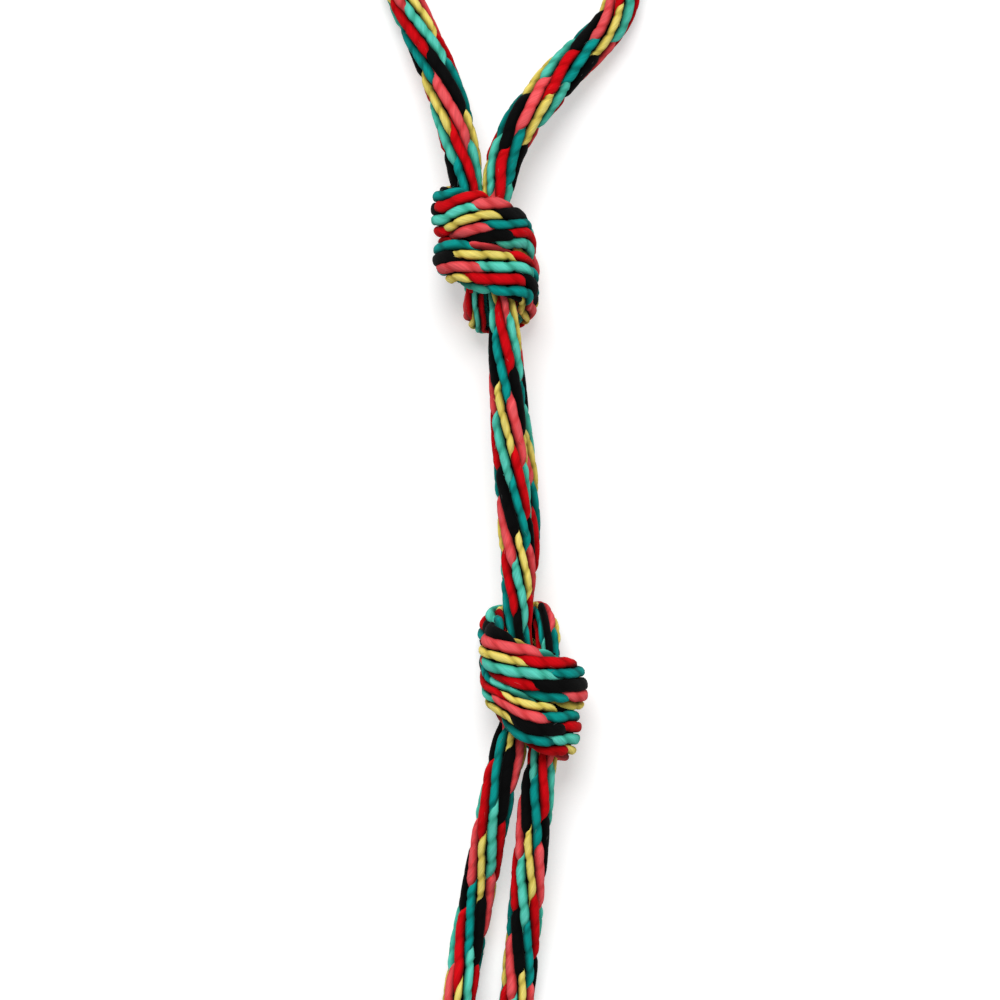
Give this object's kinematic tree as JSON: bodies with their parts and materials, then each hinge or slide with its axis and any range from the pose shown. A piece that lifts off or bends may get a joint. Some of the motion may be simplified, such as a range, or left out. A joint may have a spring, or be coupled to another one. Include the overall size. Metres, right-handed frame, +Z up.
{
  "type": "rope dog toy",
  "caption": "Braided cotton rope tug toy for a dog, folded into a loop handle, knotted at each end of a straight middle, with knotted and frayed tails.",
  "frame": {"origin": "on the floor under the middle of the bounding box, with the toy lying on its back", "axes": "+X to the right as pictured, +Y along the toy towards the handle, +Z up from the floor"},
  "size_m": [0.0956, 0.5372, 0.0361],
  "materials": {
    "red_cotton": "matte braided cotton yarn",
    "coral_cotton": "matte braided cotton yarn",
    "yellow_cotton": "matte braided cotton yarn",
    "aqua_cotton": "matte braided cotton yarn",
    "teal_cotton": "matte braided cotton yarn"
  },
  "bodies": {
    "upper_knot": {"upper_knot_right_rope": "aqua_cotton", "upper_knot_left_rope": "red_cotton"},
    "handle": {"handle_loop": "coral_cotton"},
    "middle": {"middle_front_rope": "yellow_cotton", "middle_back_rope": "teal_cotton"},
    "lower_knot": {"lower_knot_left_rope": "teal_cotton", "lower_knot_right_rope": "coral_cotton"},
    "left_tail": {"left_tail_top": "coral_cotton"},
    "left_end": {"left_tail_bottom": "yellow_cotton", "left_end_knot": "red_cotton"},
    "left_frayed_end": {"left_fringe": "aqua_cotton"},
    "right_tail": {"right_tail_top": "aqua_cotton"},
    "right_end": {"right_tail_bottom": "red_cotton", "right_end_knot": "teal_cotton"},
    "right_frayed_end": {"right_fringe": "coral_cotton"}
  },
  "joints": [
    {"name": "handle_fold", "type": "hinge", "parent": "upper_knot", "child": "handle", "pos_m": [-0.00826, 0.15401, 0.0192], "axis": [1, 0, 0], "range_deg": [-90, 90]},
    {"name": "middle_bend_top", "type": "hinge", "parent": "upper_knot", "child": "middle", "pos_m": [-0.00052, 0.08681, 0.02508], "axis": [0, 0, 1], "range_deg": [-60, 60]},
    {"name": "middle_bend_bottom", "type": "hinge", "parent": "middle", "child": "lower_knot", "pos_m": [0.00349, 0.00491, 0.02508], "axis": [0, 0, 1], "range_deg": [-60, 60]},
    {"name": "left_tail_lift", "type": "hinge", "parent": "lower_knot", "child": "left_tail", "pos_m": [-0.00252, -0.06283, 0.0192], "axis": [1, 0, 0], "range_deg": [-90, 90]},
    {"name": "left_tail_swing", "type": "hinge", "parent": "left_tail", "child": "left_end", "pos_m": [-0.00934, -0.0992, 0.01005], "axis": [0, 0, 1], "range_deg": [-60, 0]},
    {"name": "left_fringe_fold", "type": "hinge", "parent": "left_end", "child": "left_frayed_end", "pos_m": [-0.02547, -0.18092, 0.0124], "axis": [1, 0, 0], "range_deg": [-75, 75]},
    {"name": "right_tail_lift", "type": "hinge", "parent": "lower_knot", "child": "right_tail", "pos_m": [0.01067, -0.06469, 0.0192], "axis": [1, 0, 0], "range_deg": [-90, 90]},
    {"name": "right_tail_swing", "type": "hinge", "parent": "right_tail", "child": "right_end", "pos_m": [0.00519, -0.123, 0.00999], "axis": [0, 0, 1], "range_deg": [0, 60]},
    {"name": "right_fringe_fold", "type": "hinge", "parent": "right_end", "child": "right_frayed_end", "pos_m": [-0.00526, -0.22721, 0.0124], "axis": [1, 0, 0], "range_deg": [-75, 75]}
  ]
}
